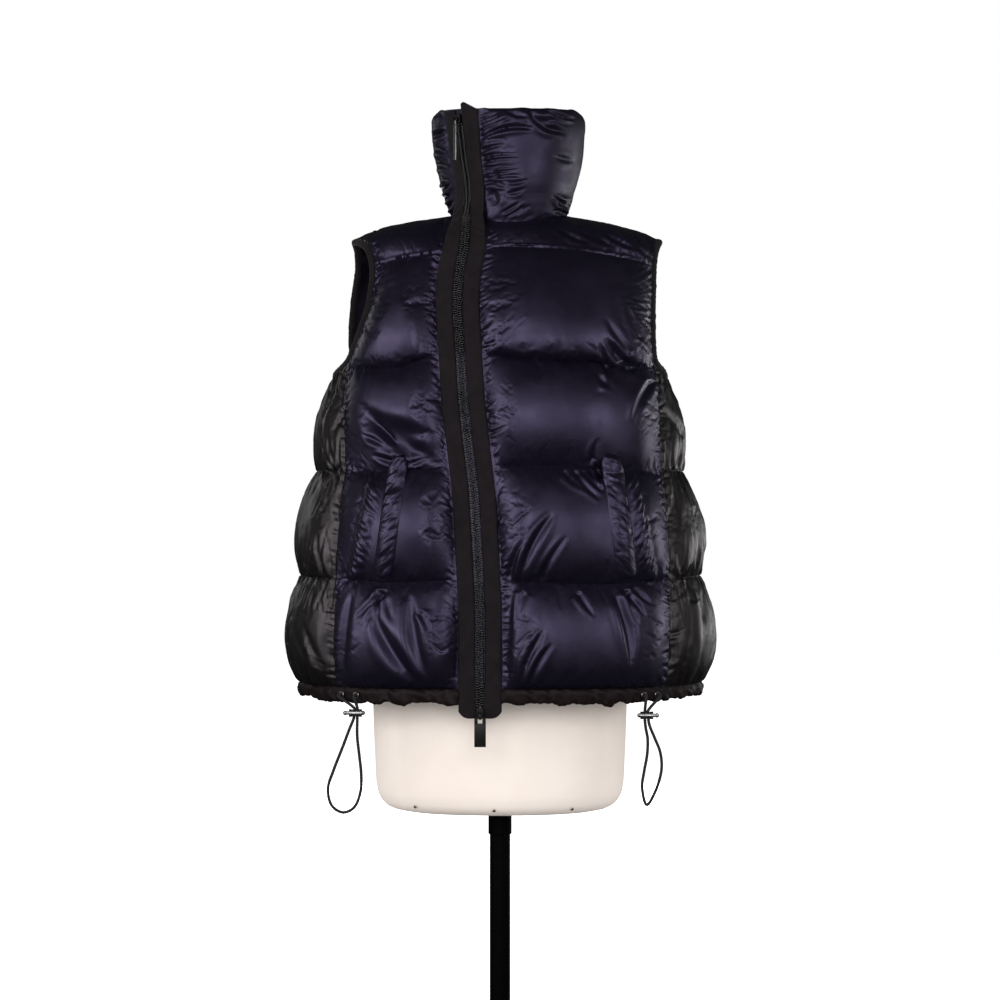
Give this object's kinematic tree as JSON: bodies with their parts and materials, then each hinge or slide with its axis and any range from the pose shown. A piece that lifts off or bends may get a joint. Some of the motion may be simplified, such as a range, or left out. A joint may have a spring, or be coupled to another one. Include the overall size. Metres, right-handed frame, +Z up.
{
  "type": "puffer vest on a dress form",
  "caption": "Quilted stand-collar puffer vest with an off-centre two-way zip, slanted pockets and drawcord hem, on a limbless dress form on a pole stand.",
  "frame": {"origin": "centre of the underside of the stand's round base", "axes": "+Z up the pole, the vest's front faces -Y, +X to the right of a viewer who faces the front"},
  "size_m": [0.5654, 0.4124, 1.2151],
  "materials": {
    "nylon": "glossy quilted nylon, navy",
    "side_nylon": "glossy quilted nylon, near black",
    "tape": "matte black grosgrain",
    "teeth": "glossy black moulded teeth",
    "black_metal": "satin black enamel on metal",
    "hardware": "pewter grey, softly polished",
    "casing": "matte brown-black taffeta, gathered",
    "cord": "braided elastic cord, dark grey",
    "form": "cream linen over a firm shell",
    "tacks": "dull small tacks",
    "stand": "satin black enamel"
  },
  "bodies": {
    "vest_on_form": {"front_left": "nylon", "front_right": "nylon", "back": "nylon", "side_left": "side_nylon", "side_right": "side_nylon", "collar": "nylon", "zip_tape_left": "tape", "zip_tape_right": "tape", "zip_chain": "teeth", "zip_slider_top": "black_metal", "zip_slider_bottom": "black_metal", "pocket_welt_left": "nylon", "pocket_welt_right": "nylon", "armhole_binding_left": "tape", "armhole_binding_right": "tape", "hem_casing": "casing", "eyelet_left_a": "hardware", "eyelet_left_b": "hardware", "eyelet_right_a": "hardware", "eyelet_right_b": "hardware", "cord_lock_left": "hardware", "cord_lock_right": "hardware", "drawcord_left": "cord", "drawcord_right": "cord", "dress_form": "form", "form_tack_left": "tacks", "form_tack_centre": "tacks", "form_tack_right": "tacks", "pole_socket": "stand", "stand_pole": "stand", "stand_base": "stand"},
    "top_pull": {"zip_pull_top": "black_metal"},
    "bottom_pull": {"zip_pull_bottom": "black_metal"},
    "plunger_left": {"lock_plunger_left": "hardware"},
    "plunger_right": {"lock_plunger_right": "hardware"}
  },
  "joints": [
    {"name": "top_pull_hinge", "type": "hinge", "parent": "vest_on_form", "child": "top_pull", "pos_m": [-0.05797, -0.08826, 1.19677], "axis": [-0.7026, 0.7116, 0], "range_deg": [0, 140]},
    {"name": "bottom_pull_hinge", "type": "hinge", "parent": "vest_on_form", "child": "bottom_pull", "pos_m": [-0.0249, -0.19697, 0.44], "axis": [-1, 0, 0], "range_deg": [0, 140]},
    {"name": "plunger_left_slide", "type": "slide", "parent": "vest_on_form", "child": "plunger_left", "axis": [1, 0, 0], "range_m": [0, 0.0015], "stiffness_N_per_m": 400, "springref_m": -0.002},
    {"name": "plunger_right_slide", "type": "slide", "parent": "vest_on_form", "child": "plunger_right", "axis": [-1, 0, 0], "range_m": [0, 0.0015], "stiffness_N_per_m": 400, "springref_m": -0.002}
  ]
}
